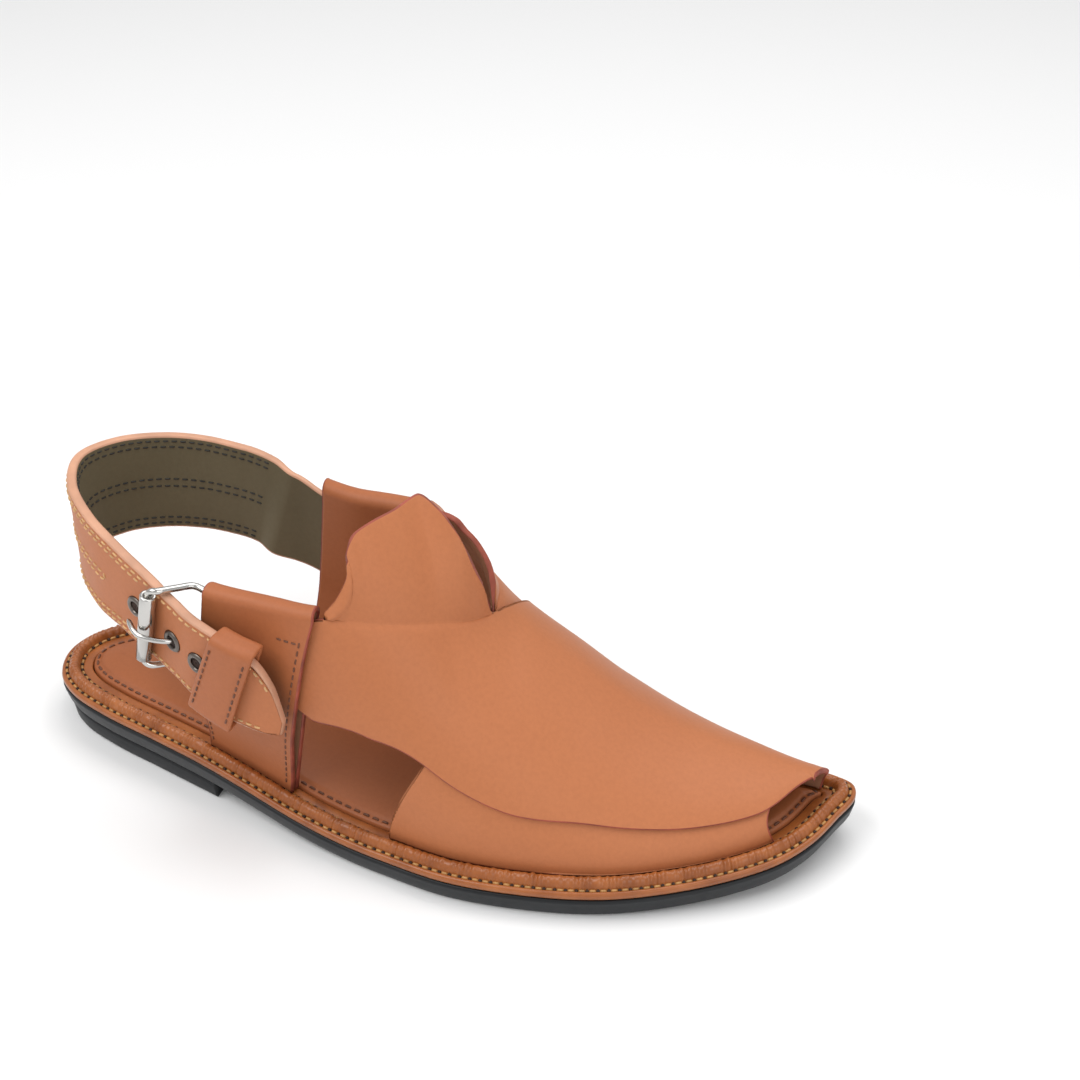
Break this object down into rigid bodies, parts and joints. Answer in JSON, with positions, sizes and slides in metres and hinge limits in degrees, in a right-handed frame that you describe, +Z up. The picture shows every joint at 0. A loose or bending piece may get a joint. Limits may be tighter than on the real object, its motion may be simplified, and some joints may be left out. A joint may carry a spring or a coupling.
{
  "type": "peshawari chappal",
  "caption": "Open leather sandal for the right foot: wide straps crossing over the instep, buckled heel strap, stitched welt, padded insole and black sole with a low heel.",
  "frame": {"origin": "on the floor under the middle of the shoe's overall box", "axes": "+X from heel to toe, +Y to the inner side of the foot, +Z up from the floor"},
  "size_m": [0.2846, 0.112, 0.1139],
  "materials": {
    "sole_rubber": "satin black, faint bluish sheen",
    "heel_rubber": "satin black",
    "welt_leather": "brown, waxed, stitched in gold thread",
    "insole_leather": "smooth tan, padded",
    "upper_leather": "smooth matte tan, dark red-brown cut edges",
    "stay_leather": "smooth matte tan",
    "strap_leather": "tan outside, olive grey-brown lining, cream double stitching",
    "buckle_metal": "bright nickel",
    "eyelet_metal": "dark, half gloss"
  },
  "bodies": {
    "root": {"outsole": "sole_rubber", "heel": "heel_rubber", "welt": "welt_leather", "insole": "insole_leather", "upper": "upper_leather", "stay_lateral": "stay_leather", "stay_medial": "stay_leather", "heel_strap": "strap_leather", "keeper": "stay_leather", "buckle_frame": "buckle_metal", "buckle_roller": "buckle_metal", "buckle_prong": "buckle_metal", "eyelet_1": "eyelet_metal", "eyelet_2": "eyelet_metal", "eyelet_3": "eyelet_metal"}
  },
  "joints": []
}
